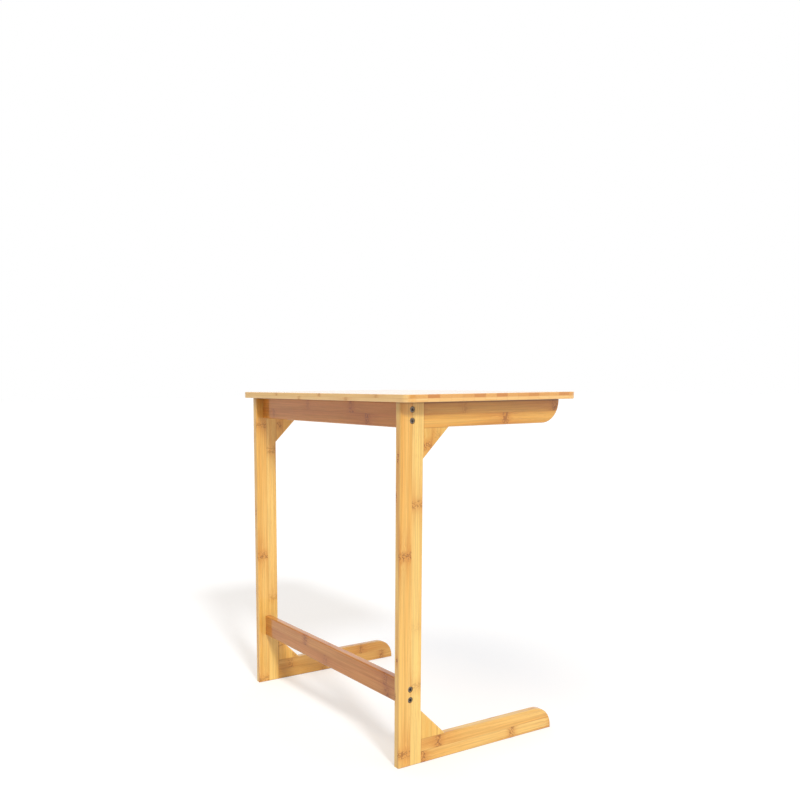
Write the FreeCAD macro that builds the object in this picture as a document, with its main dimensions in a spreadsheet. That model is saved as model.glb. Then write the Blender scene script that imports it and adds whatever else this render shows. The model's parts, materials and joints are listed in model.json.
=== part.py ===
import FreeCAD, Part
import os
import Sketcher

# A C-shaped side table in laminated bamboo, as the pieces it comes apart into.
# Millimetres, +Z up. The origin is on the floor, under the middle of the tabletop.
# X runs along the stretchers. Arms and feet reach forward, towards -Y, so that the
# feet slide under a sofa and the top hangs over its seat.

Vector = FreeCAD.Vector
Rotation = FreeCAD.Rotation

doc = FreeCAD.newDocument("side_table")
sheet = doc.addObject("Spreadsheet::Sheet", "Sizes")

driving_sizes = {
    # tabletop
    "table_length": 600,
    "table_depth": 390,
    "table_height": 650,
    "top_thickness": 13,
    "corner_radius": 18,
    "top_edge_radius": 1.5,
    # side frames
    "side_overhang": 32,
    "back_overhang": 10,
    "front_overhang": 15,
    "rail_thickness": 15,
    "rail_edge_radius": 2.5,
    "upright_width": 48,
    "arm_height": 44,
    "foot_height": 44,
    "end_flat": 4,
    "gusset_reach": 55,
    "gusset_drop": 53,
    # stretchers
    "stretcher_thickness": 15,
    "upper_stretcher_height": 44,
    "lower_stretcher_height": 44,
    "lower_stretcher_rise": 108,
    # socket bolts and their barrel nuts
    "bolt_diameter": 6,
    "bolt_spacing": 19,
    "bolt_gap": 0.25,
    "bolt_past_nut": 1.5,
    "bolt_chamfer": 0.6,
    "head_diameter": 10,
    "head_height": 6,
    "head_recess": 0.5,
    "head_gap": 0.4,
    "socket_width": 5,
    "socket_depth": 3,
    "nut_diameter": 10,
    "nut_gap": 0.1,
    "nut_cover": 1.5,
    "nut_setback": 25,
    "nut_slot_width": 1.2,
    "nut_slot_depth": 1.5,
    "drill_run_out": 2.5,
    # glued dowels in the rails, and the smaller pegs in the gussets
    "dowel_diameter": 8,
    "dowel_length": 35,
    "dowel_spacing": 22,
    "dowel_wall": 1.6,
    "peg_diameter": 6,
    "peg_length": 24,
    "peg_setback": 28,
    "glue_gap": 1,
    "dowel_chamfer": 0.8,
    # screws that hold the top down, let into deep pockets from below
    "screw_diameter": 4,
    "screw_grip": 20,
    "screw_bite": 10,
    "screw_point": 3,
    "screw_gap": 0.25,
    "pilot_run_out": 0.5,
    "screw_head_diameter": 8,
    "screw_head_height": 3,
    "screw_head_radius": 1.2,
    "screw_pocket_gap": 0.5,
    "cross_width": 1.2,
    "cross_length": 4.4,
    "cross_depth": 1.6,
    "front_screw_setback": 60,
    "rear_screw_setback": 87,
    "stretcher_screw_offset": 120,
}

for row, (alias, size) in enumerate(driving_sizes.items(), start=1):
    cell = f"A{row}"
    sheet.set(cell, str(size))
    sheet.setAlias(cell, alias)
doc.recompute()

# Places and sizes that follow from the driving ones, as expressions.
rail_top = "(Sizes.table_height - Sizes.top_thickness)"
arm_bottom = f"({rail_top} - Sizes.arm_height)"
frame_back = "(Sizes.table_depth / 2 - Sizes.back_overhang)"
frame_front = "(Sizes.front_overhang - Sizes.table_depth / 2)"
upright_front = f"({frame_back} - Sizes.upright_width)"
upright_middle = f"({frame_back} - Sizes.upright_width / 2)"
gusset_front = f"({upright_front} - Sizes.gusset_reach)"
frame_outside = "(Sizes.table_length / 2 - Sizes.side_overhang)"
frame_inside = f"({frame_outside} - Sizes.rail_thickness)"
frame_middle = f"({frame_outside} - Sizes.rail_thickness / 2)"
rail_length = f"({upright_front} - {frame_front})"

arm_middle = f"({rail_top} - Sizes.arm_height / 2)"
foot_middle = "(Sizes.foot_height / 2)"

upper_stretcher_bottom = f"({rail_top} - Sizes.upper_stretcher_height)"
upper_stretcher_middle = f"({rail_top} - Sizes.upper_stretcher_height / 2)"
lower_stretcher_middle = "(Sizes.lower_stretcher_rise + Sizes.lower_stretcher_height / 2)"
stretcher_length = f"(2 * {frame_inside})"
stretcher_front = f"({upright_middle} - Sizes.stretcher_thickness / 2)"

bolt_radius = "(Sizes.bolt_diameter / 2)"
bolt_hole = f"({bolt_radius} + Sizes.bolt_gap)"
head_hole = "(Sizes.head_diameter / 2 + Sizes.head_gap)"
head_seat = "(Sizes.head_recess + Sizes.head_height)"
bolt_reach = "(Sizes.nut_setback + Sizes.nut_diameter / 2 + Sizes.bolt_past_nut)"
bolt_length = f"(Sizes.rail_thickness - {head_seat} + {bolt_reach})"
nut_radius = "(Sizes.nut_diameter / 2)"
nut_length = "(Sizes.stretcher_thickness - 2 * Sizes.nut_cover)"

dowel_radius = "(Sizes.dowel_diameter / 2)"
dowel_in_upright = f"(Sizes.upright_width / 2 - {head_hole} - Sizes.dowel_wall - Sizes.glue_gap)"
dowel_in_rail = f"(Sizes.dowel_length - {dowel_in_upright})"
peg_radius = "(Sizes.peg_diameter / 2)"
peg_half = "(Sizes.peg_length / 2)"
peg_hole = f"({peg_half} + Sizes.glue_gap)"
peg_y = f"({upright_front} - Sizes.peg_setback)"
upper_peg_z = f"({arm_bottom} - Sizes.peg_setback)"
lower_peg_z = "(Sizes.foot_height + Sizes.peg_setback)"

screw_radius = "(Sizes.screw_diameter / 2)"
screw_hole = f"({screw_radius} + Sizes.screw_gap)"
screw_pocket = "(Sizes.screw_head_diameter / 2 + Sizes.screw_pocket_gap)"
screw_length = "(Sizes.screw_grip + Sizes.screw_bite)"
pilot_depth = "(Sizes.screw_bite + Sizes.pilot_run_out)"
front_screw = f"({frame_front} + Sizes.front_screw_setback)"
rear_screw = f"({upright_front} - Sizes.rear_screw_setback)"
screw_seat = f"({rail_top} - Sizes.screw_grip)"

# Each turns a shape that points up its own Z so that it points the named way.
pointing = {
    "+X": Rotation(Vector(0, 1, 0), 90),
    "-X": Rotation(Vector(0, 1, 0), -90),
    "+Y": Rotation(Vector(1, 0, 0), -90),
    "-Y": Rotation(Vector(1, 0, 0), 90),
    "+Z": Rotation(),
}

pieces = []


def place(thing, x="0", y="0", z="0", way="+Z"):
    thing.Placement = FreeCAD.Placement(Vector(), pointing[way])
    thing.setExpression("Placement.Base.x", x)
    thing.setExpression("Placement.Base.y", y)
    thing.setExpression("Placement.Base.z", z)
    return thing


def number(expression):
    return float(sheet.evalExpression(expression))


# Solids from primitives


def box(name, length, width, height, x, y, z):
    solid = doc.addObject("Part::Box", name)
    solid.setExpression("Length", length)
    solid.setExpression("Width", width)
    solid.setExpression("Height", height)
    return place(solid, x, y, z)


def drill(name, radius, depth, x, y, z, way):
    solid = doc.addObject("Part::Cylinder", name)
    solid.setExpression("Radius", radius)
    solid.setExpression("Height", depth)
    return place(solid, x, y, z, way)


def drilled(node, blank, drills):
    holes = doc.addObject("Part::MultiFuse", f"{node}_holes")
    holes.Shapes = drills
    piece = doc.addObject("Part::Cut", node)
    piece.Base = blank
    piece.Tool = holes
    pieces.append(piece)
    return piece


# Bodies from sketches


def sketch_on(body, name, role, lift="0"):
    plane = next(item for item in body.Origin.OriginFeatures if item.Role == role)
    sketch = body.newObject("Sketcher::SketchObject", name)
    sketch.AttachmentSupport = (plane, [""])
    sketch.MapMode = "FlatFace"
    sketch.setExpression("AttachmentOffset.Base.z", lift)
    return sketch


def fix_point(sketch, geometry, point, x, y):
    for direction, expression in (("DistanceX", x), ("DistanceY", y)):
        constraint = Sketcher.Constraint(direction, geometry, point, number(expression))
        index = sketch.addConstraint(constraint)
        sketch.setExpression(f"Constraints[{index}]", expression)


def outline(sketch, points):
    corners = [Vector(number(x), number(y), 0) for x, y in points]
    count = len(corners)
    for index in range(count):
        following = corners[(index + 1) % count]
        sketch.addGeometry(Part.LineSegment(corners[index], following))
    for index in range(count):
        sketch.addConstraint(Sketcher.Constraint("Coincident", index, 2, (index + 1) % count, 1))
    for index, (x, y) in enumerate(points):
        fix_point(sketch, index, 1, x, y)
    return sketch


def circles(sketch, centres, radius):
    for x, y in centres:
        centre = Vector(number(x), number(y), 0)
        circle = Part.Circle(centre, Vector(0, 0, 1), number(radius))
        index = sketch.addGeometry(circle)
        fix_point(sketch, index, 3, x, y)
        constraint = sketch.addConstraint(Sketcher.Constraint("Radius", index, number(radius)))
        sketch.setExpression(f"Constraints[{constraint}]", radius)
    return sketch


def pad(body, sketch, length):
    feature = body.newObject("PartDesign::Pad", f"{sketch.Name}_pad")
    feature.Profile = sketch
    feature.setExpression("Length", length)
    doc.recompute()
    return feature


def revolve(body, sketch):
    feature = body.newObject("PartDesign::Revolution", f"{sketch.Name}_turned")
    feature.Profile = sketch
    feature.ReferenceAxis = (sketch, ["V_Axis"])
    feature.Angle = 360
    doc.recompute()
    return feature


def pocket(body, sketch, depth, forward=False, through=False):
    """Cut against the sketch's normal, or along it when forward, and make sure that it cut."""
    volume_before = body.Tip.Shape.Volume
    feature = body.newObject("PartDesign::Pocket", f"{sketch.Name}_pocket")
    feature.Profile = sketch
    feature.Reversed = forward
    if through:
        feature.Type = "ThroughAll"
        feature.Midplane = True
    else:
        feature.setExpression("Length", depth)
    doc.recompute()
    if feature.Shape.Volume >= volume_before:
        raise RuntimeError(f"{feature.Name} cuts nothing")
    return feature


def edge_names(feature, wanted):
    names = []
    for index, edge in enumerate(feature.Shape.Edges, start=1):
        if wanted(edge.BoundBox):
            names.append(f"Edge{index}")
    return names


def fillet(body, wanted, radius):
    base = body.Tip
    feature = body.newObject("PartDesign::Fillet", f"{body.Name}_fillet")
    feature.Base = (base, edge_names(base, wanted))
    feature.setExpression("Radius", radius)
    doc.recompute()
    return feature


def chamfer(body, wanted, size):
    base = body.Tip
    feature = body.newObject("PartDesign::Chamfer", f"{body.Name}_chamfer")
    feature.Base = (base, edge_names(base, wanted))
    feature.setExpression("Size", size)
    doc.recompute()
    return feature


def same(one, other):
    return abs(one - other) < 0.01


def rectangle(x_low, y_low, x_high, y_high):
    return [(x_low, y_low), (x_high, y_low), (x_high, y_high), (x_low, y_high)]


# Tabletop


def make_tabletop():
    body = doc.addObject("PartDesign::Body", "tabletop")
    half_length = "Sizes.table_length / 2"
    half_depth = "Sizes.table_depth / 2"
    board = sketch_on(body, "board_outline", "XY_Plane")
    outline(board, rectangle(f"-{half_length}", f"-{half_depth}", half_length, half_depth))
    pad(body, board, "Sizes.top_thickness")
    fillet(body, lambda span: same(span.ZLength, number("Sizes.top_thickness")), "Sizes.corner_radius")
    fillet(body, lambda span: same(span.ZLength, 0), "Sizes.top_edge_radius")
    centres = [(side + frame_middle, y) for side in ("-", "") for y in (front_screw, rear_screw)]
    centres += [(side + "Sizes.stretcher_screw_offset", upright_middle) for side in ("-", "")]
    pilots = circles(sketch_on(body, "pilot_holes", "XY_Plane"), centres, screw_radius)
    pocket(body, pilots, pilot_depth, forward=True)
    place(body, z=rail_top)
    pieces.append(body)


# Side frames: the pieces are glued up flat, and then the whole frame's edges are eased
# in one pass, so each piece is what the eased frame holds inside that piece's own blank.


def make_frame_form(side, frame_x):
    body = doc.addObject("PartDesign::Body", f"{side}_frame_form")
    sketch = sketch_on(body, f"{side}_frame_outline", "YZ_Plane")
    lower_tip = "(Sizes.foot_height + Sizes.gusset_drop)"
    upper_tip = f"({arm_bottom} - Sizes.gusset_drop)"
    outline(sketch, [
        (frame_back, "0"),
        (frame_front, "0"),
        (frame_front, "Sizes.foot_height"),
        (gusset_front, "Sizes.foot_height"),
        (upright_front, lower_tip),
        (upright_front, upper_tip),
        (gusset_front, arm_bottom),
        (frame_front, arm_bottom),
        (frame_front, rail_top),
        (frame_back, rail_top),
    ])
    pad(body, sketch, "Sizes.rail_thickness")
    front = number(frame_front)

    def front_corner(height):
        return lambda span: (span.XLength > 1 and same(span.YMin, front) and same(span.YLength, 0)
                             and same(span.ZMin, height))

    fillet(body, front_corner(number("Sizes.foot_height")), "Sizes.foot_height - Sizes.end_flat")
    fillet(body, front_corner(number(arm_bottom)), "Sizes.arm_height - Sizes.end_flat")
    # The edges under the tabletop stay square, and so do the ones across the thickness.
    top = number(rail_top)
    fillet(body, lambda span: same(span.XLength, 0) and not same(span.ZMin, top), "Sizes.rail_edge_radius")
    place(body, x=frame_x)
    return body


def frame_blank(node, form, frame_x, y, z, width, height):
    blank = box(f"{node}_blank", "Sizes.rail_thickness", width, height, frame_x, y, z)
    eased = doc.addObject("Part::Common", f"{node}_eased")
    eased.Base = blank
    eased.Tool = form
    return eased


def pair_of_drills(name, radius, depth, x, y, middle, spacing, way):
    heights = [f"({middle} {sign} {spacing} / 2)" for sign in ("-", "+")]
    return [drill(f"{name}_{index}", radius, depth, x, y, height, way)
            for index, height in enumerate(heights, start=1)]


def make_frame(side):
    sign = {"left": "-", "right": ""}[side]
    inward = {"left": "+X", "right": "-X"}[side]
    frame_x = {"left": f"-{frame_outside}", "right": frame_inside}[side]
    middle_x = sign + frame_middle
    outside_x = sign + frame_outside
    form = make_frame_form(side, frame_x)

    # upright, with two bolt holes for each stretcher and the joints on its front edge
    node = f"{side}_upright"
    blank = frame_blank(node, form, frame_x, upright_front, "0", "Sizes.upright_width", rail_top)
    drills = []
    for level, middle in (("upper", upper_stretcher_middle), ("lower", lower_stretcher_middle)):
        for kind, radius, depth in (("bolt", bolt_hole, "Sizes.rail_thickness"),
                                    ("head", head_hole, head_seat)):
            drills += pair_of_drills(f"{node}_{level}_{kind}", radius, depth, outside_x, upright_middle,
                                     middle, "Sizes.bolt_spacing", inward)
    dowel_hole = f"({dowel_in_upright} + Sizes.glue_gap)"
    for level, middle in (("arm", arm_middle), ("foot", foot_middle)):
        drills += pair_of_drills(f"{node}_{level}_dowel", dowel_radius, dowel_hole, middle_x,
                                 upright_front, middle, "Sizes.dowel_spacing", "+Y")
    for level, height in (("upper", upper_peg_z), ("lower", lower_peg_z)):
        drills.append(drill(f"{node}_{level}_peg", peg_radius, peg_hole, middle_x,
                            upright_front, height, "+Y"))
    drilled(node, blank, drills)

    # arm and foot, dowelled to the upright and pegged to their gussets
    dowel_start = f"({upright_front} - {dowel_in_rail} - Sizes.glue_gap)"
    dowel_hole = f"({dowel_in_rail} + Sizes.glue_gap)"
    for node, bottom, height, middle, peg_start in (
            (f"{side}_arm", arm_bottom, "Sizes.arm_height", arm_middle, arm_bottom),
            (f"{side}_foot", "0", "Sizes.foot_height", foot_middle, f"(Sizes.foot_height - {peg_hole})")):
        blank = frame_blank(node, form, frame_x, frame_front, bottom, rail_length, height)
        drills = pair_of_drills(f"{node}_dowel", dowel_radius, dowel_hole, middle_x, dowel_start,
                                middle, "Sizes.dowel_spacing", "+Y")
        drills.append(drill(f"{node}_peg", peg_radius, peg_hole, middle_x, peg_y, peg_start, "+Z"))
        if node.endswith("arm"):
            pocket_depth = "(Sizes.arm_height - Sizes.screw_grip)"
            for index, y in enumerate((front_screw, rear_screw), start=1):
                drills.append(drill(f"{node}_screw_{index}", screw_hole, "Sizes.arm_height",
                                    middle_x, y, arm_bottom, "+Z"))
                drills.append(drill(f"{node}_pocket_{index}", screw_pocket, pocket_depth,
                                    middle_x, y, arm_bottom, "+Z"))
        drilled(node, blank, drills)

    # gussets in the two inner corners
    upper_bottom = f"({arm_bottom} - Sizes.gusset_drop)"
    for node, bottom, across, up_start in (
            (f"{side}_upper_gusset", upper_bottom, upper_peg_z, f"({arm_bottom} - {peg_hole})"),
            (f"{side}_lower_gusset", "Sizes.foot_height", lower_peg_z, "Sizes.foot_height")):
        blank = frame_blank(node, form, frame_x, gusset_front, bottom, "Sizes.gusset_reach",
                            "Sizes.gusset_drop")
        drills = [
            drill(f"{node}_upright_peg", peg_radius, peg_hole, middle_x,
                  f"({upright_front} - {peg_hole})", across, "+Y"),
            drill(f"{node}_rail_peg", peg_radius, peg_hole, middle_x, peg_y, up_start, "+Z"),
        ]
        drilled(node, blank, drills)


# Stretchers: a bolt hole pair in each end and a barrel nut hole for each bolt, blind from
# the front so that none shows from behind. The upper one also takes two screws.


def make_stretcher(node, height, bottom, screwed):
    body = doc.addObject("PartDesign::Body", node)
    section = sketch_on(body, f"{node}_section", "YZ_Plane")
    outline(section, rectangle("0", "0", "Sizes.stretcher_thickness", height))
    pad(body, section, stretcher_length)
    fillet(body, lambda span: span.XLength > 1, "Sizes.rail_edge_radius")
    middle_y = "Sizes.stretcher_thickness / 2"
    levels = [f"({height} {sign} Sizes.bolt_spacing) / 2" for sign in ("-", "+")]
    bolt_depth = f"({bolt_reach} + Sizes.drill_run_out)"
    for end, lift, forward in (("near", "0", True), ("far", stretcher_length, False)):
        sketch = sketch_on(body, f"{node}_{end}_bolts", "YZ_Plane", lift)
        circles(sketch, [(middle_y, level) for level in levels], bolt_hole)
        pocket(body, sketch, bolt_depth, forward=forward)
    sketch = sketch_on(body, f"{node}_nuts", "XZ_Plane")
    nut_places = ["Sizes.nut_setback", f"{stretcher_length} - Sizes.nut_setback"]
    circles(sketch, [(x, level) for x in nut_places for level in levels], f"{nut_radius} + Sizes.nut_gap")
    pocket(body, sketch, f"{nut_length} + Sizes.nut_cover")
    if screwed:
        centres = [(f"{stretcher_length} / 2 {sign} Sizes.stretcher_screw_offset", middle_y)
                   for sign in ("-", "+")]
        sketch = circles(sketch_on(body, f"{node}_screws", "XY_Plane"), centres, screw_hole)
        pocket(body, sketch, height, forward=True)
        sketch = circles(sketch_on(body, f"{node}_screw_pockets", "XY_Plane"), centres, screw_pocket)
        pocket(body, sketch, f"{height} - Sizes.screw_grip", forward=True)
    place(body, x=f"-{frame_inside}", y=stretcher_front, z=bottom)
    pieces.append(body)


# Fasteners and dowels, each made once at the origin and then set in place as copies


def make_bolt():
    body = doc.addObject("PartDesign::Body", "socket_bolt")
    head = "Sizes.head_diameter / 2"
    sketch = outline(sketch_on(body, "bolt_profile", "XZ_Plane"), [
        ("0", "-Sizes.head_height"),
        (f"{head} - Sizes.bolt_chamfer", "-Sizes.head_height"),
        (head, "Sizes.bolt_chamfer - Sizes.head_height"),
        (head, "0"),
        (bolt_radius, "0"),
        (bolt_radius, f"{bolt_length} - Sizes.bolt_chamfer"),
        (f"{bolt_radius} - Sizes.bolt_chamfer", bolt_length),
        ("0", bolt_length),
    ])
    revolve(body, sketch)
    corner = "Sizes.socket_width / sqrt(3)"
    hexagon = [(f"{corner} * cos({60 * turn} deg)", f"{corner} * sin({60 * turn} deg)") for turn in range(6)]
    socket = outline(sketch_on(body, "bolt_socket", "XY_Plane", "-Sizes.head_height"), hexagon)
    pocket(body, socket, "Sizes.socket_depth", forward=True)
    return body


def make_barrel_nut():
    body = doc.addObject("PartDesign::Body", "barrel_nut")
    section = sketch_on(body, "nut_round", "XY_Plane", f"-{nut_length} / 2")
    pad(body, circles(section, [("0", "0")], nut_radius), nut_length)
    thread = circles(sketch_on(body, "nut_thread", "YZ_Plane"), [("0", "0")], bolt_radius)
    pocket(body, thread, "0", through=True)
    slot = sketch_on(body, "nut_slot", "XY_Plane", f"{nut_length} / 2")
    half_slot = "Sizes.nut_slot_width / 2"
    outline(slot, rectangle(f"-{nut_radius}", f"-{half_slot}", nut_radius, half_slot))
    pocket(body, slot, "Sizes.nut_slot_depth")
    return body


def make_screw():
    body = doc.addObject("PartDesign::Body", "wood_screw")
    head = "Sizes.screw_head_diameter / 2"
    sketch = outline(sketch_on(body, "screw_profile", "XZ_Plane"), [
        ("0", "-Sizes.screw_head_height"),
        (head, "-Sizes.screw_head_height"),
        (head, "0"),
        (screw_radius, "0"),
        (screw_radius, f"{screw_length} - Sizes.screw_point"),
        ("0", screw_length),
    ])
    revolve(body, sketch)
    head_top = number("-Sizes.screw_head_height")
    fillet(body, lambda span: same(span.ZMin, head_top) and same(span.ZLength, 0) and span.XLength > 1,
           "Sizes.screw_head_radius")
    half_width = "Sizes.cross_width / 2"
    half_length = "Sizes.cross_length / 2"
    cross = [
        (half_width, half_width),
        (half_width, half_length),
        (f"-{half_width}", half_length),
        (f"-{half_width}", half_width),
        (f"-{half_length}", half_width),
        (f"-{half_length}", f"-{half_width}"),
        (f"-{half_width}", f"-{half_width}"),
        (f"-{half_width}", f"-{half_length}"),
        (half_width, f"-{half_length}"),
        (half_width, f"-{half_width}"),
        (half_length, f"-{half_width}"),
        (half_length, half_width),
    ]
    recess = outline(sketch_on(body, "screw_recess", "XY_Plane", "-Sizes.screw_head_height"), cross)
    pocket(body, recess, "Sizes.cross_depth", forward=True)
    return body


def make_dowel(name, radius, length):
    body = doc.addObject("PartDesign::Body", name)
    pad(body, circles(sketch_on(body, f"{name}_round", "XY_Plane"), [("0", "0")], radius), length)
    chamfer(body, lambda span: same(span.ZLength, 0), "Sizes.dowel_chamfer")
    return body


def group(node, master, places):
    """Set copies of a fastener at places, each given as x, y, z and the way it points."""
    links = []
    for index, (x, y, z, way) in enumerate(places, start=1):
        link = doc.addObject("App::Link", f"{node}_{index}")
        link.LinkedObject = master
        links.append(place(link, x, y, z, way))
    compound = doc.addObject("Part::Compound", node)
    compound.Links = links
    pieces.append(compound)


def make_fasteners():
    bolt = make_bolt()
    nut = make_barrel_nut()
    screw = make_screw()
    dowel = make_dowel("dowel", dowel_radius, "Sizes.dowel_length")
    peg = make_dowel("peg", peg_radius, "Sizes.peg_length")
    bolt_pairs = {"upper": upper_stretcher_middle, "lower": lower_stretcher_middle}
    dowel_pairs = {"arm": arm_middle, "foot": foot_middle}
    corner_pegs = {
        "upper": (upper_peg_z, f"{arm_bottom} - {peg_half}"),
        "lower": (lower_peg_z, f"Sizes.foot_height - {peg_half}"),
    }
    dowel_start = f"({upright_front} - {dowel_in_rail})"
    for side, sign, inward in (("left", "-", "+X"), ("right", "", "-X")):
        middle_x = sign + frame_middle
        seat_x = f"{sign}({frame_outside} - {head_seat})"
        nut_x = f"{sign}({frame_inside} - Sizes.nut_setback)"
        for level, middle in bolt_pairs.items():
            heights = [f"{middle} {step} Sizes.bolt_spacing / 2" for step in ("-", "+")]
            group(f"{side}_{level}_bolts", bolt, [(seat_x, upright_middle, z, inward) for z in heights])
            group(f"{side}_{level}_barrel_nuts", nut, [(nut_x, upright_middle, z, "-Y") for z in heights])
        for level, middle in dowel_pairs.items():
            heights = [f"{middle} {step} Sizes.dowel_spacing / 2" for step in ("-", "+")]
            group(f"{side}_{level}_dowels", dowel, [(middle_x, dowel_start, z, "+Y") for z in heights])
        for level, (across_z, up_z) in corner_pegs.items():
            group(f"{side}_{level}_gusset_dowels", peg, [
                (middle_x, f"{upright_front} - {peg_half}", across_z, "+Y"),
                (middle_x, peg_y, up_z, "+Z"),
            ])
        screw_places = [(middle_x, y, screw_seat, "+Z") for y in (front_screw, rear_screw)]
        group(f"{side}_arm_screws", screw, screw_places)
    offsets = ["-Sizes.stretcher_screw_offset", "Sizes.stretcher_screw_offset"]
    group("stretcher_screws", screw, [(x, upright_middle, screw_seat, "+Z") for x in offsets])


def check_document():
    doc.recompute()
    for item in doc.Objects:
        if "Invalid" in item.State or "Error" in item.State:
            raise RuntimeError(f"{item.Name} failed: {item.State}")
    for piece in pieces:
        if piece.Shape.isNull() or not piece.Shape.isValid():
            raise RuntimeError(f"{piece.Label} has no valid shape")


make_tabletop()
make_frame("left")
make_frame("right")
make_stretcher("upper_stretcher", "Sizes.upper_stretcher_height", upper_stretcher_bottom, screwed=True)
make_stretcher("lower_stretcher", "Sizes.lower_stretcher_height", "Sizes.lower_stretcher_rise", screwed=False)
make_fasteners()
check_document()

os.makedirs("parts", exist_ok=True)
for piece in pieces:
    piece.Shape.exportStep(f"parts/{piece.Label}.step")
    solids = len(piece.Shape.Solids)
    print(f"{piece.Label}: {solids} solid(s), {piece.Shape.Volume / 1000:.2f} cm3")
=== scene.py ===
import json
import math
import bmesh
import bpy
from mathutils import Matrix, Vector


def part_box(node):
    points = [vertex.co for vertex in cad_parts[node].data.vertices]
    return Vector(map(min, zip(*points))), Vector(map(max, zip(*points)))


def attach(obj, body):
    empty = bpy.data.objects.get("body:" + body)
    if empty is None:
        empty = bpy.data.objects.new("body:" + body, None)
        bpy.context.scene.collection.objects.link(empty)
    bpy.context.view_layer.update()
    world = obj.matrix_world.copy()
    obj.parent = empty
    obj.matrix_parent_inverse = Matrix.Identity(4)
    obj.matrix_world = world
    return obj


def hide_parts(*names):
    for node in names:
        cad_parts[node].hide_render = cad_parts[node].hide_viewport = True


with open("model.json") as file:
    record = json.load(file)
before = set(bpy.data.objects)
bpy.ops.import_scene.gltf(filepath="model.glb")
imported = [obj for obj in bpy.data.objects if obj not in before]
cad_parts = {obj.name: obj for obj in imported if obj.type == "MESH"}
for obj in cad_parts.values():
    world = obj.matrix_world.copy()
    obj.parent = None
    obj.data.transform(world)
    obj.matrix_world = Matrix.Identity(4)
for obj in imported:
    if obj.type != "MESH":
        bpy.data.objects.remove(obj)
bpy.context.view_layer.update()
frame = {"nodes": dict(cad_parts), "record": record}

print("frame loaded:", len(frame["nodes"]), "nodes")


# Small helpers for building shader nodes

def addNode(tree, kind, inputs=None, **settings):
    node = tree.nodes.new(kind)
    for key, value in settings.items():
        setattr(node, key, value)
    for socket, value in (inputs or {}).items():
        if isinstance(value, bpy.types.NodeSocket):
            tree.links.new(value, node.inputs[socket])
        else:
            node.inputs[socket].default_value = value
    return node


def maths(tree, operation, first, second=0.0):
    return addNode(tree, "ShaderNodeMath", {0: first, 1: second}, operation=operation).outputs[0]


def plus(tree, first, second):
    return maths(tree, "ADD", first, second)


def less(tree, first, second):
    return maths(tree, "SUBTRACT", first, second)


def times(tree, first, *others):
    for other in others:
        first = maths(tree, "MULTIPLY", first, other)
    return first


def fade(tree, value, start, stop, first=0.0, last=1.0):
    # first at start, last at stop, with a smooth change between
    low, high = (start, stop) if start < stop else (stop, start)
    atLow, atHigh = (first, last) if start < stop else (last, first)
    inputs = {"Value": value, "From Min": low, "From Max": high, "To Min": atLow, "To Max": atHigh}
    return addNode(tree, "ShaderNodeMapRange", inputs, interpolation_type="SMOOTHSTEP").outputs[0]


def blend(tree, factor, first, second):
    return addNode(tree, "ShaderNodeMix", {0: factor, 2: first, 3: second}, data_type="FLOAT").outputs[0]


def mixColour(tree, factor, first, second, way="MIX"):
    node = addNode(tree, "ShaderNodeMix", {0: factor, 6: first, 7: second}, data_type="RGBA", blend_type=way)
    return node.outputs[2]


def grey(tree, value):
    return addNode(tree, "ShaderNodeCombineXYZ", {0: value, 1: value, 2: value}).outputs[0]


def scatter(tree, x, y, z):
    # white noise: three random numbers, the same all over a cell
    spot = addNode(tree, "ShaderNodeCombineXYZ", {0: x, 1: y, 2: z}).outputs[0]
    node = addNode(tree, "ShaderNodeTexWhiteNoise", {"Vector": spot}, noise_dimensions="3D")
    parts = addNode(tree, "ShaderNodeSeparateColor", {0: node.outputs["Color"]})
    return parts.outputs[0], parts.outputs[1], parts.outputs[2]


def grain(tree, spot, along, across, detail=2.0, roughness=0.5, through=None):
    # noise with so many waves to the metre along, across and through the strip
    through = across if through is None else through
    vector = addNode(tree, "ShaderNodeCombineXYZ", {
        0: plus(tree, times(tree, spot["along"], float(along)), spot["shift"]),
        1: plus(tree, times(tree, spot["across"], float(across)), spot["shift"]),
        2: times(tree, spot["through"], float(through)),
    }).outputs[0]
    inputs = {"Vector": vector, "Scale": 1.0, "Detail": float(detail), "Roughness": roughness}
    return addNode(tree, "ShaderNodeTexNoise", inputs).outputs[0]


def newMaterial(name):
    material = bpy.data.materials.new(name)
    material.use_nodes = True
    tree = material.node_tree
    tree.nodes.clear()
    shader = addNode(tree, "ShaderNodeBsdfPrincipled")
    addNode(tree, "ShaderNodeOutputMaterial", {"Surface": shader.outputs[0]})
    return material, tree, shader


# Laminated bamboo. Lengths are in metres and colours are linear.

bamboo = {
    "straw": (0.86, 0.68, 0.385, 1),
    "honey": (0.77, 0.47, 0.165, 1),
    "amber": (0.62, 0.29, 0.06, 1),
    "knuckle": (0.55, 0.235, 0.055, 1),
    "bark": (0.33, 0.125, 0.010, 1),
    "seam": (0.42, 0.19, 0.05, 1),
    # colour of the painted shade laid under the top where the boards meet it
    "creviceShade": (0.13, 0.035, 0.004, 1),
    "seamHalf": 0.00018,
    "jointHalf": 0.0005,      # the hairline at a butt joint is solid to here
    "jointFade": 0.0013,      # and gone here
    "skin": 0.001,            # the first seam lies this far outside the board
    "roughness": 0.40,
    "coat": 1.0,
    "coatRoughness": 0.06,
    "bumpStrength": 0.35,
    "bumpDistance": 0.0003,
    "haloDepth": 0.65,
    "threadDepth": 0.90,
    "speckDepth": 0.40,
}

# waves to the metre along and across the strip, then the detail and roughness of the noise

fibres = {
    "curl": (70, 110, 1),
    "broad": (2.4, 85, 2),
    "patch": (7, 30, 1),
    "fine": (8, 430, 3, 0.65),
    "fleck": (75, 1250, 1),
    "swirlWidth": 0.012,
}

knuckleForm = {
    "waver": (70, 190, 2, 0.6),
    "clump": (120, 150, 1),
    "speck": (500, 620, 1),
    "threadEdge": (0.27, 0.09),
    "swirlReach": (0.040, 0.003),
    "stainReach": (0.020, 0.075),      # for a pale knuckle and for a dark one
    "stainOffset": 0.008,
}


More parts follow.
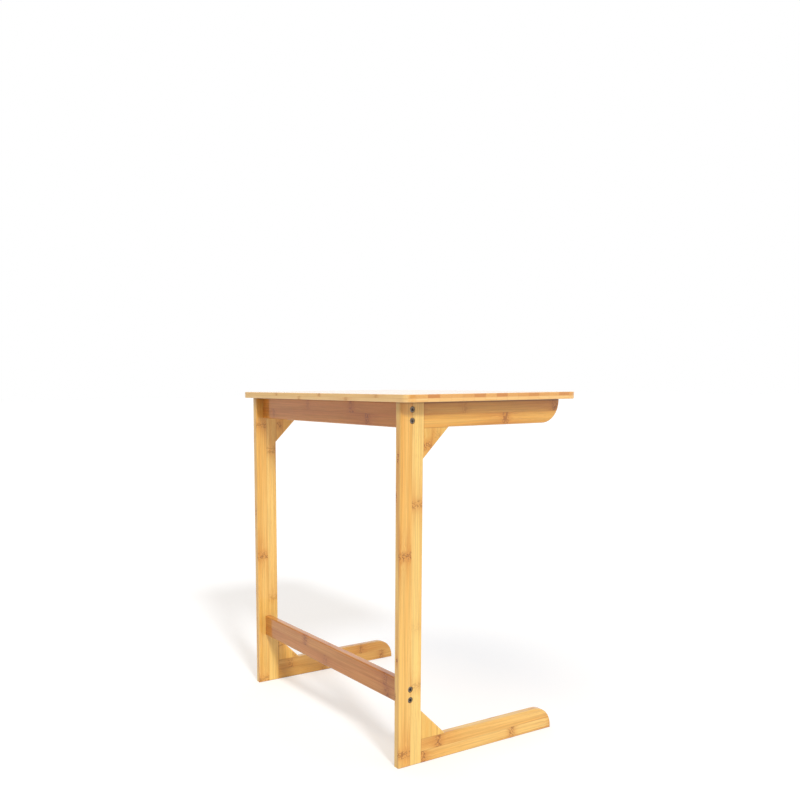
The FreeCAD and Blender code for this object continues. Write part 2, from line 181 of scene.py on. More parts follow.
def stripTable(tree, index, count, rows):
    # looks up up to three numbers from 0 to 1 for the strip that a point is in
    middle = maths(tree, "DIVIDE", plus(tree, index, 0.5), float(count))
    ramp = addNode(tree, "ShaderNodeValToRGB", {0: middle})
    ramp.color_ramp.interpolation = "CONSTANT"
    stops = ramp.color_ramp.elements
    while len(stops) < count:
        stops.new(1.0)
    for number in range(count):
        row = list(rows[number]) + [0.0] * (3 - len(rows[number]))
        stops[number].position = number / count
        stops[number].color = (row[0], row[1], row[2], 1.0)
    parts = addNode(tree, "ShaderNodeSeparateColor", {0: ramp.outputs[0]})
    return parts.outputs[0], parts.outputs[1], parts.outputs[2]


def gridSpot(tree, look):
    # where a point lies along the fibres, across the strips and through the plies
    place = addNode(tree, "ShaderNodeTexCoord")
    split = addNode(tree, "ShaderNodeSeparateXYZ", {0: place.outputs["Object"]})
    facing = addNode(tree, "ShaderNodeSeparateXYZ", {0: place.outputs["Normal"]})
    spot = {}
    for name in ("along", "across", "through"):
        spot[name] = split.outputs["xyz".index(look[name])]
    spot["endOn"] = maths(tree, "ABSOLUTE", facing.outputs["xyz".index(look["along"])])
    spot["sideOn"] = maths(tree, "ABSOLUTE", facing.outputs["xyz".index(look["across"])])
    count = len(look["tones"])
    strip = maths(tree, "DIVIDE", less(tree, spot["across"], look["firstSeam"]), look["stripWidth"])
    ply = maths(tree, "DIVIDE", less(tree, spot["through"], look["firstPly"]), look["plyThickness"])
    number = maths(tree, "MAXIMUM", maths(tree, "FLOOR", strip), 0.0)
    spot["strip"] = maths(tree, "MINIMUM", number, count - 1.0)
    spot["ply"] = maths(tree, "FLOOR", ply)
    edges = (("stripEdge", strip, look["stripWidth"]), ("plyEdge", ply, look["plyThickness"]))
    for name, position, width in edges:
        part = maths(tree, "FRACT", position)   # then metres to the nearest seam
        spot[name] = times(tree, maths(tree, "MINIMUM", part, less(tree, 1.0, part)), width)
    chance = scatter(tree, spot["strip"], spot["ply"], float(look["seed"]))
    spot["shift"] = times(tree, chance[0], 53.0)
    beyond = maths(tree, "ABSOLUTE", less(tree, spot["ply"], look["facePly"]))
    spot["inner"] = maths(tree, "GREATER_THAN", beyond, 0.5)
    tones = stripTable(tree, spot["strip"], count, look["tones"])
    third = times(tree, less(tree, spot["along"], look["start"]), 3.0 / look["length"])
    firstHalf = blend(tree, fade(tree, third, 0.6, 1.4), tones[0], tones[1])
    tone = blend(tree, fade(tree, third, 1.6, 2.4), firstHalf, tones[2])
    spot["tone"] = blend(tree, spot["inner"], tone, chance[1])
    spot["slide"] = times(tree, spot["inner"], chance[2])
    return spot


def addKnuckles(tree, spot, look):
    # the culm's nodes: up to three in each strip, and the nearest one counts
    count = len(look["knuckles"])
    places = stripTable(tree, spot["strip"], count, [[pair[0] for pair in row] for row in look["knuckles"]])
    depths = stripTable(tree, spot["strip"], count, [[pair[1] for pair in row] for row in look["knuckles"]])
    share = times(tree, less(tree, spot["along"], look["start"]), 1.0 / look["length"])
    here = plus(tree, share, spot["slide"])
    best = None
    for place, depth in zip(places, depths):
        turn = maths(tree, "FRACT", plus(tree, less(tree, here, place), 0.5))
        distance = times(tree, less(tree, turn, 0.5), look["length"])
        weight = maths(tree, "DIVIDE", maths(tree, "ABSOLUTE", distance), plus(tree, depth, 0.001))
        if best is None:
            best = (distance, weight, depth)
        else:
            nearer = maths(tree, "LESS_THAN", weight, best[1])
            best = tuple(blend(tree, nearer, old, new) for old, new in zip(best, (distance, weight, depth)))
    distance, _, depth = best
    spot["depth"] = depth
    waver = less(tree, grain(tree, spot, *knuckleForm["waver"]), 0.5)
    bent = plus(tree, distance, times(tree, waver, look["wander"]))
    away = maths(tree, "ABSOLUTE", bent)
    half = look["knuckleHalf"]
    spot["band"] = times(tree, fade(tree, away, half * 1.1, half * 0.6), depth)
    # curls: the height lines of a lumpy field, drawn as thin dark threads in clumps
    lumps = grain(tree, spot, look["curl"], look["curl"] * 0.8, 1, 0.5)
    level = maths(tree, "FRACT", times(tree, lumps, look["rings"]))
    thread = fade(tree, maths(tree, "ABSOLUTE", less(tree, level, 0.5)), *knuckleForm["threadEdge"])
    clump = fade(tree, grain(tree, spot, *knuckleForm["clump"]), 0.62, 0.36, look["clumping"], 1.0)
    reach = fade(tree, times(tree, away, clump), half, half * 0.45)
    spot["squiggle"] = times(tree, thread, reach, depth)
    speck = fade(tree, grain(tree, spot, *knuckleForm["speck"]), 0.56, 0.66)
    spot["speck"] = times(tree, speck, spot["band"])
    near = fade(tree, maths(tree, "ABSOLUTE", distance), *knuckleForm["swirlReach"])
    spot["swirl"] = times(tree, near, depth)
    # a warm stain that runs away from the band along the fibres, longer on one side
    lean = fade(tree, spot["depth"], 0.0, 1.0, *knuckleForm["stainReach"])
    offset = plus(tree, distance, -knuckleForm["stainOffset"])
    reach = maths(tree, "DIVIDE", maths(tree, "ABSOLUTE", offset), lean)
    spot["glow"] = times(tree, fade(tree, reach, 1.0, 0.0), depth)
    spot["halo"] = times(tree, fade(tree, maths(tree, "ABSOLUTE", distance), half * 2.0, 0.0), depth)
    return spot


def addFibres(tree, spot):
    # fibres run straight between the knuckles and swirl beside them
    curl = less(tree, grain(tree, spot, *fibres["curl"]), 0.5)
    sway = times(tree, curl, spot["swirl"], fibres["swirlWidth"])
    bent = dict(spot, across=plus(tree, spot["across"], sway))
    spot["broad"] = grain(tree, bent, *fibres["broad"])
    spot["patch"] = grain(tree, spot, *fibres["patch"])
    spot["fine"] = grain(tree, bent, *fibres["fine"])
    spot["fleck"] = grain(tree, bent, *fibres["fleck"])
    return spot


def bambooColour(tree, spot, look):
    # long soft streaks first, then fine fibres and flecks, then the knuckles on top
    tone = plus(tree, spot["tone"], times(tree, less(tree, spot["broad"], 0.5), look["streaks"]))
    base = mixColour(tree, fade(tree, tone, 0.0, 1.0), bamboo["straw"], bamboo["honey"])
    base = mixColour(tree, fade(tree, tone, 0.75, 1.6), base, bamboo["amber"])
    light = fade(tree, spot["fine"], 0.28, 0.72, 1.0 + look["fibres"], 1.0 - look["fibres"])
    base = mixColour(tree, 1.0, base, grey(tree, light), "MULTIPLY")
    fleck = times(tree, fade(tree, spot["fleck"], 0.54, 0.70),
                  fade(tree, spot["patch"], 0.38, 0.62, 0.10, 0.38))
    base = mixColour(tree, fleck, base, bamboo["amber"])
    # faces that show the plies' edges turn toward straw: partly their paler grain, partly painted highlight
    base = mixColour(tree, fade(tree, spot["sideOn"], 0.3, 0.9, 0.0, 0.45), base, bamboo["straw"])
    rim = times(tree, fade(tree, spot["stripEdge"], 0.0030, 0.0003),
                fade(tree, spot["patch"], 0.50, 0.66, 0.0, 0.6))
    base = mixColour(tree, rim, base, bamboo["amber"])
    stain = times(tree, spot["glow"], fade(tree, spot["broad"], 0.34, 0.60, 0.05, 0.70),
                  fade(tree, spot["fine"], 0.30, 0.62, 0.45, 1.0))
    base = mixColour(tree, stain, base, bamboo["amber"])
    base = mixColour(tree, times(tree, spot["halo"], bamboo["haloDepth"]), base, bamboo["amber"])
    strong = fade(tree, spot["depth"], 0.55, 1.0, 0.10, look["bandDepth"])
    base = mixColour(tree, times(tree, spot["band"], strong), base, bamboo["knuckle"])
    base = mixColour(tree, times(tree, spot["squiggle"], bamboo["threadDepth"]), base, bamboo["bark"])
    return mixColour(tree, times(tree, spot["speck"], bamboo["speckDepth"]), base, bamboo["straw"])


def endGrainColour(tree, spot):
    # cut ends show each strip as a block peppered with dark bundles
    block = mixColour(tree, fade(tree, spot["tone"], 0.1, 0.7, 0.2, 1.0), bamboo["honey"], bamboo["knuckle"])
    vector = addNode(tree, "ShaderNodeCombineXYZ", {
        0: times(tree, spot["across"], 1300.0), 1: times(tree, spot["through"], 1700.0), 2: spot["shift"]})
    cells = addNode(tree, "ShaderNodeTexVoronoi", {"Vector": vector.outputs[0], "Scale": 1.0})
    bundles = fade(tree, cells.outputs["Distance"], 0.45, 0.20, 0.0, 0.6)
    return mixColour(tree, bundles, block, bamboo["bark"])


def bambooMaterial(name, look):
    material, tree, shader = newMaterial(name)
    spot = addFibres(tree, addKnuckles(tree, gridSpot(tree, look), look))
    face = bambooColour(tree, spot, look)
    endOn = fade(tree, spot["endOn"], 0.55, 0.90)
    if "coreTop" in look:
        # the core ply runs crosswise, so a cut end shows it as one pale band of fine lines
        core = fade(tree, spot["through"], look["coreTop"] + 0.0002, look["coreTop"] - 0.0002)
        lines = grain(tree, spot, 900, 7, 3, 0.6, 1100)
        band = mixColour(tree, fade(tree, lines, 0.35, 0.65, 0.35, 0.95), bamboo["straw"], bamboo["honey"])
        end = mixColour(tree, core, endGrainColour(tree, spot), band)
    else:
        end = endGrainColour(tree, spot)
    colour = mixColour(tree, endOn, face, end)
    half = bamboo["seamHalf"]
    nearest = maths(tree, "MINIMUM", spot["stripEdge"], spot["plyEdge"])
    gap = fade(tree, nearest, half * 2.0, half, 0.0, look["seamDepth"])
    for direction, place in look.get("joints", []):
        # a hairline where this board butts against another
        off = maths(tree, "ABSOLUTE", less(tree, spot[direction], place))
        line = fade(tree, off, bamboo["jointFade"], bamboo["jointHalf"], 0.0, look["jointDepth"])
        gap = maths(tree, "MAXIMUM", gap, line)
    colour = mixColour(tree, gap, colour, bamboo["seam"])
    if "underTop" in look:
            # painted shade: a dark line right under the top, then a haze of painted shade that fades out
            # below it
        off = less(tree, look["underTop"], spot[look["upward"]])
        line = fade(tree, off, *rails["lineReach"], 0.0, look["shadeLine"])
        haze = fade(tree, off, *rails["hazeReach"], 0.0, look["shadeLine"] * rails["hazeShare"])
        colour = mixColour(tree, maths(tree, "MAXIMUM", line, haze), colour, bamboo["creviceShade"])
    colour = mixColour(tree, 1.0, colour, look["tint"], "MULTIPLY")
    tree.links.new(colour, shader.inputs["Base Color"])
    rough = bamboo["roughness"]
    polish = fade(tree, spot["fine"], 0.3, 0.7, rough - 0.06, rough + 0.10)
    tree.links.new(polish, shader.inputs["Roughness"])
    shader.inputs["Coat Weight"].default_value = bamboo["coat"]
    shader.inputs["Coat Roughness"].default_value = bamboo["coatRoughness"]
    height = plus(tree, times(tree, spot["fine"], 0.5), times(tree, spot["squiggle"], 0.8))
    height = less(tree, height, times(tree, gap, 1.5))
    bump = addNode(tree, "ShaderNodeBump", {
        "Height": height, "Strength": bamboo["bumpStrength"], "Distance": bamboo["bumpDistance"]})
    tree.links.new(bump.outputs[0], shader.inputs["Normal"])
    return material


# The top: sixteen strips. Each row goes from the back edge forward. Knuckles are pairs of
# (place along the board from 0 to 1, depth of colour from 0 to 1); tones are left, middle, right.

topStrips = [
    {"tones": (0.30, 0.35, 0.30), "knuckles": [(0.15, 0.5), (0.46, 0.6), (0.74, 0.5)]},
    {"tones": (0.10, 0.15, 0.20), "knuckles": [(0.21, 0.5), (0.56, 0.5), (0.87, 0.6)]},
    {"tones": (0.60, 0.30, 0.55), "knuckles": [(0.06, 0.6), (0.43, 1.0), (0.78, 0.6)]},
    {"tones": (0.05, 0.05, 0.15), "knuckles": [(0.39, 0.4), (0.82, 0.6)]},
    {"tones": (0.15, 0.20, 0.15), "knuckles": [(0.64, 0.2)]},
    {"tones": (0.30, 0.20, 0.25), "knuckles": [(0.17, 0.7), (0.46, 0.5), (0.85, 0.6)]},
    {"tones": (0.55, 0.45, 0.35), "knuckles": [(0.29, 0.8), (0.59, 0.7), (0.88, 0.5)]},
    {"tones": (0.15, 0.15, 0.20), "knuckles": [(0.04, 0.4), (0.42, 0.6), (0.82, 0.9)]},
    {"tones": (0.60, 0.50, 0.40), "knuckles": [(0.38, 0.4), (0.68, 0.4)]},
    {"tones": (0.25, 0.40, 0.35), "knuckles": [(0.19, 0.8), (0.61, 0.9), (0.98, 0.7)]},
    {"tones": (0.35, 0.40, 0.30), "knuckles": [(0.45, 0.7), (0.96, 0.8)]},
    {"tones": (0.50, 0.45, 0.60), "knuckles": [(0.10, 0.8), (0.43, 1.0), (0.73, 0.9)]},
    {"tones": (0.30, 0.20, 0.35), "knuckles": [(0.02, 0.6), (0.39, 0.6), (0.78, 0.9)]},
    {"tones": (0.20, 0.35, 0.35), "knuckles": [(0.41, 0.4), (0.84, 0.3)]},
    {"tones": (0.55, 0.35, 0.45), "knuckles": [(0.36, 0.8), (0.75, 0.9)]},
    {"tones": (0.30, 0.55, 0.40), "knuckles": [(0.07, 0.6), (0.46, 0.7), (0.94, 0.5)]},
]


top = {
    "stripWidth": 0.025,
    "seamSpan": 0.391,        # from the back edge to the first seam, just past the front edge
    "plyThickness": 0.0075,
    "coreTop": 0.0065,        # height of the crosswise core above the underside
    "streaks": 0.60,
    "fibres": 0.07,
    "seamDepth": 0.35,
    "knuckleHalf": 0.0058,
    "wander": 0.006,
    "curl": 230,
    "clumping": 1.6,
    "rings": 5.0,
    "bandDepth": 0.60,
    "tint": (1.0, 0.91, 0.72, 1),
    "seed": 3,
}


def dressTop():
    low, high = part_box("tabletop")
    strips = list(reversed(topStrips))   # counted from the front edge, as the frame is
    look = dict(top)
    look.update({
        "along": "x", "across": "y", "through": "z", "start": low[0], "length": high[0] - low[0],
        "firstSeam": high[1] - top["seamSpan"], "firstPly": low[2] - bamboo["skin"],
        "facePly": 1.0, "coreTop": low[2] + top["coreTop"],
        "tones": [row["tones"] for row in strips], "knuckles": [row["knuckles"] for row in strips],
    })
    paint("tabletop", bambooMaterial("bambooTop", look))


# The rails: two strips side by side in each board, three in a gusset, and three plies.
# Strips are counted from the front, or from below where the board lies flat.

rails = {
    "tint": {
        "upright": (0.95, 0.84, 0.45, 1), "arm": (0.88, 0.71, 0.30, 1), "foot": (0.90, 0.79, 0.44, 1),
        # painted shade: the stretcher tints and the right foot's tint are the wood's colour darkened for the
        # shade that falls on them
        "gusset": (0.93, 0.80, 0.36, 1), "stretcher": (0.72, 0.42, 0.13, 1),
        "right_upright": (0.96, 0.88, 0.51, 1), "right_foot": (0.75, 0.64, 0.36, 1),
        "lower_stretcher": (0.63, 0.37, 0.135, 1),
    },
    "grain": {"upright": "zyx", "arm": "yzx", "foot": "yzx", "gusset": "zyx", "stretcher": "xzy"},
    # painted shade under the top: its depth for each kind of board, the height a board must reach, how far
    # the line and the haze run down, and the haze's share
    "shadeLine": {"upright": 0.55, "arm": 0.95, "stretcher": 0.30},
    "shadeFrom": 0.5,
    "lineReach": (0.0065, 0.0006),
    "hazeReach": (0.026, 0.004),
    "hazeShare": 0.30,
    "streaks": 1.15,
    "fibres": 0.13,
    "seamDepth": 0.30,
    "knuckleHalf": 0.0105,
    "wander": 0.008,
    "curl": 150,
    "clumping": 1.6,
    "rings": 3.2,
    "bandDepth": 0.22,
    "jointDepth": 0.65,
}

railStrips = {
    "left_upright": [
        ((0.20, 0.22, 0.25), [(0.727, 0.75), (0.225, 0.35), (0.39, 0.12)]),
        ((0.50, 0.60, 0.85), [(0.589, 1.0), (0.038, 0.85)]),
    ],
    "right_upright": [
        ((0.55, 0.50, 0.55), [(0.82, 0.5), (0.30, 0.3)]),
        ((0.60, 0.60, 0.70), [(0.455, 1.0), (0.907, 0.6), (0.01, 0.6)]),
    ],
    "left_arm": [
        ((0.75, 0.80, 0.65), [(0.42, 0.9)]),
        ((0.85, 0.75, 0.75), [(0.035, 0.9), (0.72, 0.3)]),
    ],
    "right_arm": [
        ((0.6, 0.5, 0.6), [(0.62, 0.8)]),
        ((0.7, 0.8, 0.6), [(0.18, 0.7), (0.86, 0.8)]),
    ],
    "left_foot": [
        ((0.45, 0.50, 0.60), [(0.322, 0.8), (0.985, 1.0)]),
        ((0.50, 0.55, 0.70), [(0.879, 1.0)]),
    ],
    "right_foot": [
        ((0.80, 0.80, 0.75), [(0.10, 0.9), (0.62, 0.5)]),
        ((0.85, 0.75, 0.70), [(0.283, 0.9), (0.899, 0.7)]),
    ],
    "left_upper_gusset": [
        ((0.45, 0.45, 0.45), [(0.3, 0.0)]),
        ((0.75, 0.65, 0.55), [(0.75, 0.3)]),
        ((0.90, 0.90, 0.75), [(0.42, 1.0)]),
    ],
    "left_lower_gusset": [
        ((0.45, 0.50, 0.45), [(0.3, 0.0)]),
        ((0.40, 0.45, 0.45), [(0.3, 0.0)]),
        ((0.50, 0.50, 0.50), [(0.3, 0.0)]),
    ],
    "upper_stretcher": [
        ((0.70, 0.60, 0.65), [(0.213, 1.0), (0.905, 0.4)]),
        ((0.80, 0.75, 0.60), [(0.315, 0.9), (0.62, 0.3)]),
    ],
    "lower_stretcher": [
        ((0.60, 0.70, 0.60), [(0.087, 0.9), (0.50, 0.5)]),
        ((0.65, 0.55, 0.60), [(0.659, 0.9), (0.10, 0.7)]),
    ],
}
plainStrips = [
    ((0.5, 0.5, 0.6), [(0.2, 0.5)]),
    ((0.6, 0.6, 0.6), [(0.3, 0.0)]),
    ((0.7, 0.6, 0.6), [(0.7, 0.7)]),
]


def dressRail(node, seed):
    low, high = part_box(node)
    kind = node.split("_")[-1]
    along, across, through = rails["grain"][kind]
    axis = {"along": "xyz".index(along), "across": "xyz".index(across), "through": "xyz".index(through)}
    skin = bamboo["skin"]
    rows = railStrips.get(node, plainStrips)
    start = low[axis["along"]]
    look = {
        "along": along, "across": across, "through": through,
        "start": start, "length": high[axis["along"]] - start,
        "stripWidth": (high[axis["across"]] - low[axis["across"]] + 2 * skin) / len(rows),
        "firstSeam": low[axis["across"]] - skin,
        "plyThickness": (high[axis["through"]] - low[axis["through"]] + 2 * skin) / 3,
        "firstPly": low[axis["through"]] - skin, "facePly": 2.0 if kind == "stretcher" else 0.0,
        "tones": [row[0] for row in rows], "knuckles": [row[1] for row in rows],
        "tint": rails["tint"].get(node, rails["tint"][kind]), "seed": seed,
    }
    # joints show against the upright, and where a gusset seats on its rail
    if kind in ("arm", "foot"):
        look["joints"] = [("along", high[1])]
    elif kind == "gusset":
        look["joints"] = [("along", high[2] if "upper" in node else low[2]), ("across", high[1])]
    # painted shade under the top, for boards that reach up to it
    look["shadeLine"] = rails["shadeLine"].get(kind, 0.0)
    if look["shadeLine"] > 0.0 and high[2] > rails["shadeFrom"]:
        look["underTop"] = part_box("tabletop")[0][2]
        look["upward"] = {along: "along", across: "across"}["z"]
    for name in ("streaks", "fibres", "seamDepth", "knuckleHalf", "wander", "curl",
                 "clumping", "rings", "bandDepth", "jointDepth"):
        look[name] = rails[name]
    paint(node, bambooMaterial(f"bamboo_{node}", look))


def dressBoards():
    dressTop()
    boards = [name for name in frame["nodes"] if name.split("_")[-1] in rails["grain"]]
    for number, name in enumerate(sorted(boards)):
        dressRail(name, 11 + 7 * number)


def paint(node, material):
    thing = frame["nodes"][node]
    thing.data.materials.clear()
    thing.data.materials.append(material)


# Hardware

zinc = {
    "colour": (0.27, 0.245, 0.215, 1),
    "roughness": 0.24,
    "scratch": 900.0,
    "bumpStrength": 0.15,
    "bumpDistance": 0.0001,
}
beech = {
    "colour": (0.62, 0.42, 0.24, 1),
    "pore": (0.42, 0.25, 0.13, 1),
    "poreScale": 1400.0,
    "roughness": 0.6,
}


def zincMaterial():
    material, tree, shader = newMaterial("zincPlate")
    place = addNode(tree, "ShaderNodeTexCoord").outputs["Object"]
    inputs = {"Vector": place, "Scale": zinc["scratch"], "Detail": 4.0}
    cloud = addNode(tree, "ShaderNodeTexNoise", inputs).outputs[0]
    tint = fade(tree, cloud, 0.3, 0.7, 0.82, 1.1)
    tree.links.new(mixColour(tree, 1.0, zinc["colour"], grey(tree, tint), "MULTIPLY"),
                   shader.inputs["Base Color"])
    tree.links.new(fade(tree, cloud, 0.3, 0.7, zinc["roughness"] - 0.08, zinc["roughness"] + 0.14),
                   shader.inputs["Roughness"])
    shader.inputs["Metallic"].default_value = 1.0
    bump = addNode(tree, "ShaderNodeBump", {
        "Height": cloud, "Strength": zinc["bumpStrength"], "Distance": zinc["bumpDistance"]})
    tree.links.new(bump.outputs[0], shader.inputs["Normal"])
    return material


def beechMaterial():
    material, tree, shader = newMaterial("beechDowel")
    place = addNode(tree, "ShaderNodeTexCoord").outputs["Object"]
    inputs = {"Vector": place, "Scale": beech["poreScale"], "Detail": 3.0}
    pores = addNode(tree, "ShaderNodeTexNoise", inputs).outputs[0]
    tree.links.new(mixColour(tree, fade(tree, pores, 0.45, 0.65), beech["colour"], beech["pore"]),
                   shader.inputs["Base Color"])
    shader.inputs["Roughness"].default_value = beech["roughness"]
    return material


def dressHardware():
    metal = zincMaterial()
    wood = beechMaterial()
    for entry in frame["record"]["subparts"]:
        if entry["material_slot"] == "zinc_steel":
            paint(entry["node"], metal)
        elif entry["material_slot"] == "beech_dowel":
            paint(entry["node"], wood)
    return metal


# Socket bolts, turned as one profile round each axis, with the hexagon worked into the rings

bolts = {
    "segments": 48,
    "headRadius": 0.005,
    "headHeight": 0.006,
    "headRounding": 0.0010,
    "socketWidth": 0.005,
    "socketDepth": 0.003,
    "socketChamfer": 0.00025,
    "shankRadius": 0.003,
    "plainShank": 0.006,
    "threadPitch": 0.001,
    "threadDepth": 0.0005,
    "tipChamfer": 0.0006,
    "socketRim": 1.22,
    "socketCone": 0.0006,
    "roundingSteps": 6,
    "headChamfer": 0.0002,
    "neckFillet": 0.0003,
    "sharpDegrees": 35.0,
    "turns": (12.0, 41.0),
}


def boltRings(length):
    # (kind of ring, size, depth below the face of the head), from the socket's bottom outward
    rings = [("hexagon", bolts["socketWidth"] / 2, bolts["socketDepth"]),
             ("hexagon", bolts["socketWidth"] / 2, bolts["socketChamfer"]),
             ("circle", bolts["socketWidth"] / 2 * bolts["socketRim"], 0.0)]
    flat = bolts["headRadius"] - bolts["headRounding"]
    for step in range(bolts["roundingSteps"]):
        turn = math.radians(90 * step / (bolts["roundingSteps"] - 1))
        rings.append(("circle", flat + bolts["headRounding"] * math.sin(turn),
                      bolts["headRounding"] * (1 - math.cos(turn))))
    seat = bolts["headHeight"]
    shank = bolts["shankRadius"]
    chamfer = bolts["headChamfer"]
    fillet = bolts["neckFillet"]
    rings += [("circle", bolts["headRadius"], seat - chamfer),
              ("circle", bolts["headRadius"] - chamfer, seat),
              ("circle", shank + fillet, seat), ("circle", shank, seat + fillet)]
    depth = seat + bolts["plainShank"]
    while depth < length - bolts["tipChamfer"] - bolts["threadPitch"]:
        rings.append(("circle", shank, depth))
        rings.append(("circle", shank - bolts["threadDepth"], depth + bolts["threadPitch"] / 2))
        depth += bolts["threadPitch"]
    rings += [("circle", shank, length - bolts["tipChamfer"]),
              ("circle", shank - bolts["tipChamfer"], length)]
    return rings


def turnBolt(mesh, face, outward, turnDegrees, length):
    count = bolts["segments"]
    rows = []
    for kind, size, depth in boltRings(length):
        row = []
        for number in range(count):
            angle = 2 * math.pi * number / count
            radius = size
            if kind == "hexagon":
                corner = math.radians(30)
                radius = size / math.cos((angle % (2 * corner)) - corner)
            swing = angle + math.radians(turnDegrees)
            place = (face.x - outward * depth, face.y + radius * math.cos(swing),
                     face.z + radius * math.sin(swing))
            row.append(mesh.verts.new(place))
        rows.append(row)
    for inner, outer in zip(rows, rows[1:]):
        for number in range(count):
            after = (number + 1) % count
            mesh.faces.new((inner[number], inner[after], outer[after], outer[number]))
    socketEnd = bolts["socketDepth"] + bolts["socketCone"]
    floorPoint = mesh.verts.new((face.x - outward * socketEnd, face.y, face.z))
    tipPoint = mesh.verts.new((face.x - outward * length, face.y, face.z))
    for number in range(count):
        after = (number + 1) % count
        mesh.faces.new((floorPoint, rows[0][after], rows[0][number]))
        mesh.faces.new((tipPoint, rows[-1][number], rows[-1][after]))


def makeBolts(metal):
    for node in ("left_upper_bolts", "left_lower_bolts", "right_upper_bolts", "right_lower_bolts"):
        low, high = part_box(node)
        outward = -1 if node.startswith("left") else 1
        face = low[0] if outward < 0 else high[0]
        radius = bolts["headRadius"]
        builder = bmesh.new()
        for level, turn in zip((low[2] + radius, high[2] - radius), bolts["turns"]):
            middle = Vector((face, (low[1] + high[1]) / 2, level))
            turnBolt(builder, middle, outward, turn, high[0] - low[0])
        bmesh.ops.recalc_face_normals(builder, faces=builder.faces)
        mesh = bpy.data.meshes.new(f"{node}_turned")
        builder.to_mesh(mesh)
        builder.free()
        mesh.shade_smooth()
        mesh.set_sharp_from_angle(angle=math.radians(bolts["sharpDegrees"]))
        mesh.materials.append(metal)
        piece = bpy.data.objects.new(f"{node}_turned", mesh)
        bpy.context.collection.objects.link(piece)
        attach(piece, "root")
        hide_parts(node)


# Studio

studio = {
    "lights": {
        "keyLight": {
            "way": (-1.33, 0.35, 1.0), "strength": 1.78, "softness": 9.0, "colour": (1.0, 0.99, 0.97),
        },
        "roomLight": {
            "way": (-0.2, 0.5, 0.85), "strength": 1.25, "softness": 35.0, "colour": (1.0, 0.82, 0.62),
        },
    },
    "brightWay": (0.15, -0.75, 0.45),
    "fillBright": (1.0, 0.96, 0.93, 1),
    "fillDim": (0.15, 0.09, 0.06, 1),
    "fillStrength": 1.02,
    "fillFrom": (-0.35, 0.25),
    "overhead": 0.55,
    "overheadFrom": (0.10, 0.75),
    "lampDistance": 3,
    "paper": (0.80, 0.79, 0.78, 1),
    "paperGlow": (0.35, 0.345, 0.34, 1),
    "paperShade": (0.63, 0.675, 0.73, 1),
    "paperRoughness": 0.9,
    "floorSize": 60.0,
}


def makeFloor():
    mesh = bpy.data.meshes.new("studioFloor")
    half = studio["floorSize"] / 2
    corners = [(-half, -half, 0), (half, -half, 0), (half, half, 0), (-half, half, 0)]
    mesh.from_pydata(corners, [], [(0, 1, 2, 3)])
    floor = bpy.data.objects.new("studioFloor", mesh)
    bpy.context.collection.objects.link(floor)
    material, tree, shader = newMaterial("studioFloor")
    shader.inputs["Base Color"].default_value = studio["paper"]
    shader.inputs["Roughness"].default_value = studio["paperRoughness"]
    # to the camera the paper is nearly white with soft shadows; to the wood it is plain matt paper
    glow = addNode(tree, "ShaderNodeEmission", {"Color": studio["paperGlow"], "Strength": 1.0})
    matt = addNode(tree, "ShaderNodeBsdfDiffuse", {"Color": studio["paperShade"]})
    both = addNode(tree, "ShaderNodeAddShader", {0: glow.outputs[0], 1: matt.outputs[0]})
    rays = addNode(tree, "ShaderNodeLightPath")
    choice = addNode(tree, "ShaderNodeMixShader", {0: rays.outputs["Is Camera Ray"], 1: shader.outputs[0],
                                                   2: both.outputs[0]})
    tree.links.new(choice.outputs[0], tree.get_output_node("ALL").inputs["Surface"])
    mesh.materials.append(material)


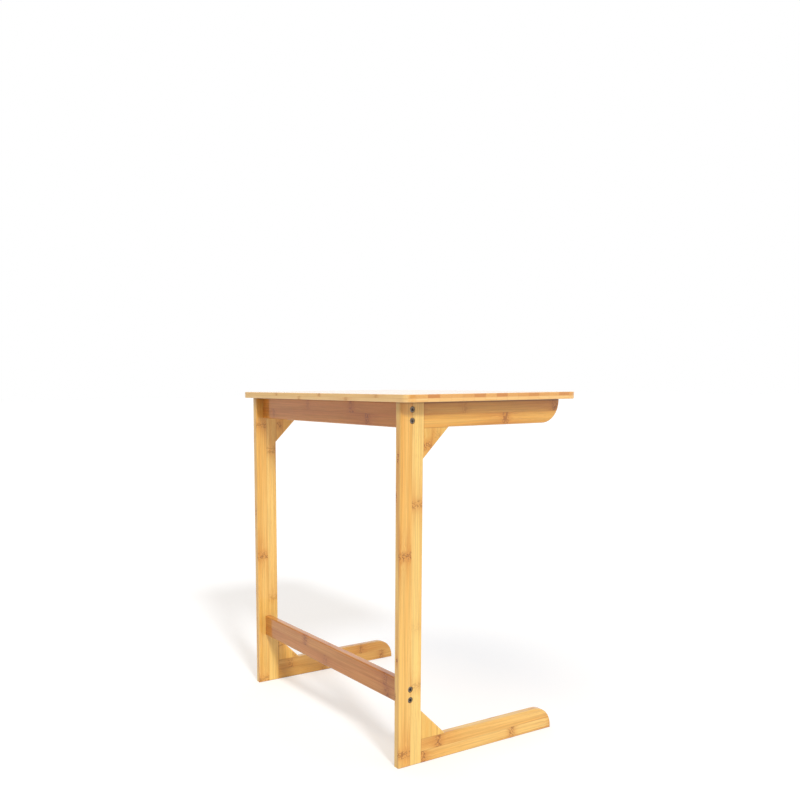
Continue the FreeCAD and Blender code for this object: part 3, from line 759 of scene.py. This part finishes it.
def makeLights():
    scene = bpy.context.scene
    world = bpy.data.worlds.new("studioWorld")
    scene.world = world
    world.use_nodes = True
    tree = world.node_tree
    tree.nodes.clear()
    # the room is bright low in front of the table, duller overhead, dim and warm behind it
    sky = addNode(tree, "ShaderNodeTexCoord").outputs["Generated"]
    side = addNode(tree, "ShaderNodeVectorMath", {0: sky, 1: studio["brightWay"]}, operation="DOT_PRODUCT")
    share = fade(tree, side.outputs["Value"], *studio["fillFrom"])
    colour = mixColour(tree, share, studio["fillDim"], studio["fillBright"])
    height = addNode(tree, "ShaderNodeSeparateXYZ", {0: sky}).outputs[2]
    above = fade(tree, height, *studio["overheadFrom"], 1.0, studio["overhead"])
    colour = mixColour(tree, 1.0, colour, grey(tree, above), "MULTIPLY")
    fill = addNode(tree, "ShaderNodeBackground", {"Color": colour, "Strength": studio["fillStrength"]})
    seen = addNode(tree, "ShaderNodeBackground", {"Color": (1, 1, 1, 1), "Strength": 1.0})
    rays = addNode(tree, "ShaderNodeLightPath")
    choice = addNode(tree, "ShaderNodeMixShader", {0: rays.outputs["Is Camera Ray"], 1: fill.outputs[0],
                                                   2: seen.outputs[0]})
    addNode(tree, "ShaderNodeOutputWorld", {"Surface": choice.outputs[0]})
    for name, light in studio["lights"].items():
        lamp = bpy.data.lights.new(name, "SUN")
        lamp.angle = math.radians(light["softness"])
        lamp.energy = light["strength"]
        lamp.color = light["colour"]
        sun = bpy.data.objects.new(name, lamp)
        bpy.context.collection.objects.link(sun)
        sun.visible_glossy = False   # no hard disc of light on the gloss of the top
        way = Vector(light["way"]).normalized()
        sun.location = way * studio["lampDistance"]
        sun.rotation_mode = "QUATERNION"
        sun.rotation_quaternion = way.to_track_quat("Z", "Y")


# The camera stands behind the left side, a little above the top, and looks almost level.

lens = {
    "sensor": 36.0,
    "place": (-1.4523, 1.0679, 0.6743),
    "headingDegrees": -30.162,
    "tiltDegrees": -6.868,
    "rollDegrees": -0.444,
    "focal": 39.72,
    "shiftX": 0.125,
    "shiftY": 0.1083,
}


def makeCamera():
    data = bpy.data.cameras.new("camera")
    data.sensor_width = lens["sensor"]
    data.lens = lens["focal"]
    data.shift_x = lens["shiftX"]
    data.shift_y = lens["shiftY"]
    camera = bpy.data.objects.new("camera", data)
    bpy.context.collection.objects.link(camera)
    heading = math.radians(lens["headingDegrees"])
    tilt = math.radians(lens["tiltDegrees"])
    look = Vector((math.cos(tilt) * math.cos(heading), math.cos(tilt) * math.sin(heading), math.sin(tilt)))
    level = look.to_track_quat("-Z", "Y")
    roll = Matrix.Rotation(math.radians(lens["rollDegrees"]), 4, "Z").to_quaternion()
    camera.rotation_mode = "QUATERNION"
    camera.rotation_quaternion = level @ roll
    camera.location = lens["place"]
    bpy.context.scene.camera = camera
    bpy.context.scene.view_settings.view_transform = "Standard"


dressBoards()
print("bamboo boards dressed")
metal = dressHardware()
makeBolts(metal)
print("hardware dressed")
makeFloor()
makeLights()
makeCamera()
print("studio ready")
